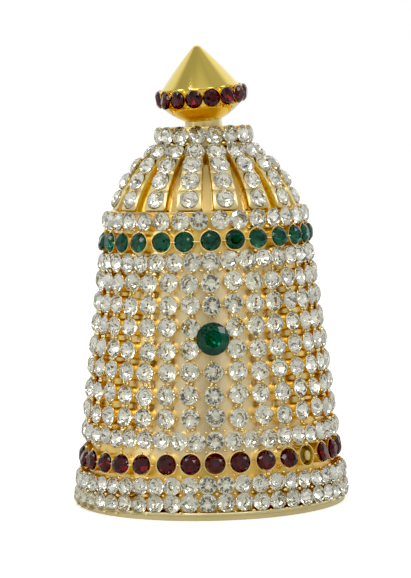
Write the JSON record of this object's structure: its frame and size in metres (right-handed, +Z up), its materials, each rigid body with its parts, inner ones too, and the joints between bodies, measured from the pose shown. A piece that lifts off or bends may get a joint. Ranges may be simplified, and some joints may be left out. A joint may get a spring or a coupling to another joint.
{
  "type": "deity crown",
  "caption": "Hollow gilt bell-shaped crown for a small statue, set with rows of clear, green and red cut stones, with a ribbed dome and a cone finial. It rests on its flat rim.",
  "frame": {"origin": "middle of the flat foot of the rim", "axes": "+Z up along the bell's axis, the front with the large green stone faces -Y, and +X is to the right of the front"},
  "size_m": [0.0494, 0.0494, 0.0818],
  "materials": {
    "gilt": "polished gilt",
    "crystal": "cut and foiled, in gilt cups",
    "emerald": "cut and foiled, in gilt cups",
    "ruby": "cut and foiled, in gilt cups"
  },
  "bodies": {
    "root": {"crown_wall": "gilt", "rim_rows": "crystal", "ruby_row": "ruby", "lower_row": "crystal", "stone_field": "crystal", "upper_row": "crystal", "emerald_row": "emerald", "dome_base_row": "crystal", "collar_row": "crystal", "dome_rib_01": "crystal", "dome_rib_02": "crystal", "dome_rib_03": "crystal", "dome_rib_04": "crystal", "dome_rib_05": "crystal", "dome_rib_06": "crystal", "dome_rib_07": "crystal", "dome_rib_08": "crystal", "dome_rib_09": "crystal", "dome_rib_10": "crystal", "dome_rib_11": "crystal", "dome_rib_12": "crystal", "dome_rib_13": "crystal", "dome_rib_14": "crystal", "dome_rib_15": "crystal", "dome_rib_16": "crystal", "centre_emerald": "emerald", "finial": "gilt", "finial_ruby_row": "ruby"}
  },
  "joints": []
}
